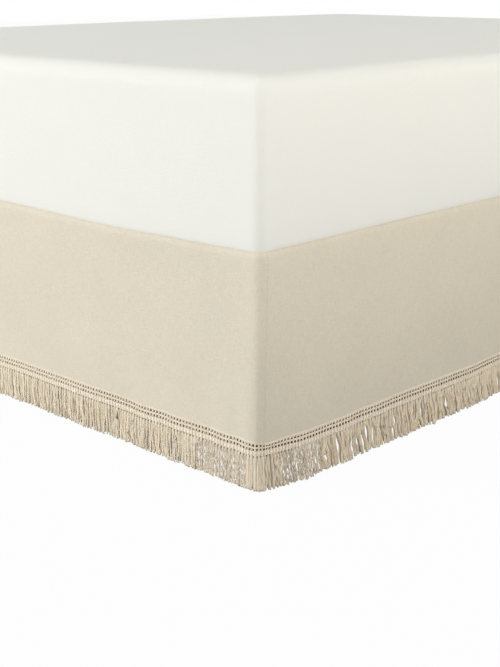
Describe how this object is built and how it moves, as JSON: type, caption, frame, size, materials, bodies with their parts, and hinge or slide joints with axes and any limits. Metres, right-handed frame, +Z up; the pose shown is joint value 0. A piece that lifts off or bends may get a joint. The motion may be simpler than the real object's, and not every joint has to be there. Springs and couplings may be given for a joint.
{
  "type": "bed skirt on a plain bed with its mattress",
  "caption": "Tailored cloth bed skirt with an openwork fringed trim, hung round the sides and foot of a plain bed, its head end open.",
  "frame": {"origin": "on the floor under the middle of the bed", "axes": "+Z up, +Y along the bed towards its head, +X across the bed"},
  "size_m": [1.5526, 2.032, 0.6453],
  "materials": {
    "linen": "plain natural linen and cotton weave, matte",
    "platform": "thin plain platform cloth, matte",
    "trim": "woven openwork header with a cut yarn fringe",
    "mattress_cover": "smooth white stretch cover, matte",
    "foundation_cover": "plain light grey cover",
    "leg_wood": "satin beech"
  },
  "bodies": {
    "root": {"skirt_foot": "linen", "skirt_right": "linen", "skirt_left": "linen", "skirt_deck": "platform", "trim_foot": "trim", "trim_right": "trim", "trim_left": "trim", "mattress": "mattress_cover", "bed_base": "foundation_cover", "leg_1": "leg_wood", "leg_2": "leg_wood", "leg_3": "leg_wood", "leg_4": "leg_wood", "leg_5": "leg_wood", "leg_6": "leg_wood"}
  },
  "joints": []
}
